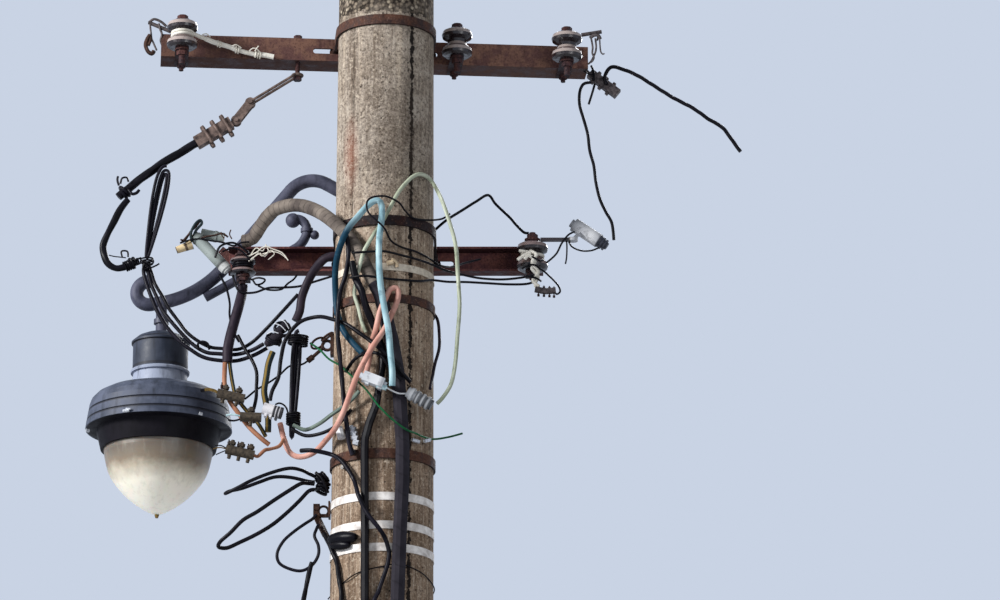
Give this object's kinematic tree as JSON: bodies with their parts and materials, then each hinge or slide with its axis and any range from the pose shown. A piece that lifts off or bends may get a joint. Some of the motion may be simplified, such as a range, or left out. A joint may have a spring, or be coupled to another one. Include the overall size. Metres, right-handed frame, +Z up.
{
  "type": "concrete utility pole with street lamp",
  "caption": "Tapered concrete pole with steel crossarms, spool insulators, a street lamp on a scrolled bracket, and looped cables with clamps and connectors",
  "frame": {"origin": "the middle of the pole's foot, at ground level", "axes": "+Z up along the pole; X along the crossarms; the crossarms stand at the back of the pole, +Y"},
  "size_m": [1.6649, 0.5752, 6],
  "materials": {
    "concrete": "cast concrete, weathered",
    "rusty_steel": "rusted",
    "painted_strap": "beige, weathered",
    "strap_steel": "bright strap",
    "porcelain": "glazed, dirty",
    "lamp_paint": "blue-grey, satin",
    "lamp_glass": "frosted",
    "brass": "dull",
    "black_sheath": "black, weathered",
    "zinc_steel": "zinc, dull",
    "grey_plastic": "grey, weathered",
    "white_plastic": "off-white, weathered",
    "bronze": "dull, dirty",
    "tape": "wound tape, weathered",
    "pale_blue_sheath": "light blue",
    "pale_green_sheath": "pale green",
    "salmon_sheath": "salmon",
    "green_sheath": "green"
  },
  "bodies": {
    "root": {"pole_shaft": "concrete", "top_crossarm": "rusty_steel", "middle_crossarm": "rusty_steel", "top_collar": "rusty_steel", "middle_collar": "rusty_steel", "beige_strap": "painted_strap", "ring_clamp": "rusty_steel", "lower_collar": "rusty_steel", "steel_straps": "strap_steel", "riser_bands": "strap_steel", "top_insulators": "porcelain", "top_insulator_brackets": "rusty_steel", "middle_insulators": "porcelain", "middle_insulator_brackets": "rusty_steel", "spare_bolt": "rusty_steel", "lamp_bracket": "lamp_paint", "bracket_scroll": "lamp_paint", "bracket_clamps": "rusty_steel", "lamp_stem": "lamp_paint", "lamp_neck": "lamp_paint", "lamp_canopy": "lamp_paint", "lamp_skirt": "lamp_paint", "lamp_bowl": "lamp_glass", "lamp_finial": "brass", "main_riser": "black_sheath", "second_riser": "black_sheath", "strain_fitting": "zinc_steel", "side_hooks": "rusty_steel", "top_arm_fittings": "zinc_steel", "right_connector": "grey_plastic", "left_connectors": "grey_plastic", "white_connectors": "white_plastic", "ribbed_connector": "grey_plastic", "line_taps": "bronze", "cable_hanks": "black_sheath", "hank_ties": "black_sheath", "cable_knot": "black_sheath", "taped_hose": "tape", "black_leads": "black_sheath", "blue_ribbon": "pale_blue_sheath", "white_cable": "pale_green_sheath", "salmon_cable": "salmon_sheath", "green_wire": "green_sheath", "thin_wires": "black_sheath", "front_wires": "black_sheath", "black_arcs": "black_sheath", "right_drop": "black_sheath", "jumper_upper": "black_sheath", "clamp_tails": "black_sheath", "left_drop": "black_sheath", "bundle_upper": "black_sheath", "black_sweeps": "black_sheath", "lower_tails": "black_sheath", "cable_tails": "black_sheath", "thin_riser": "black_sheath", "line_end": "black_sheath", "service_loops": "black_sheath", "service_cables": "black_sheath"}
  },
  "joints": []
}
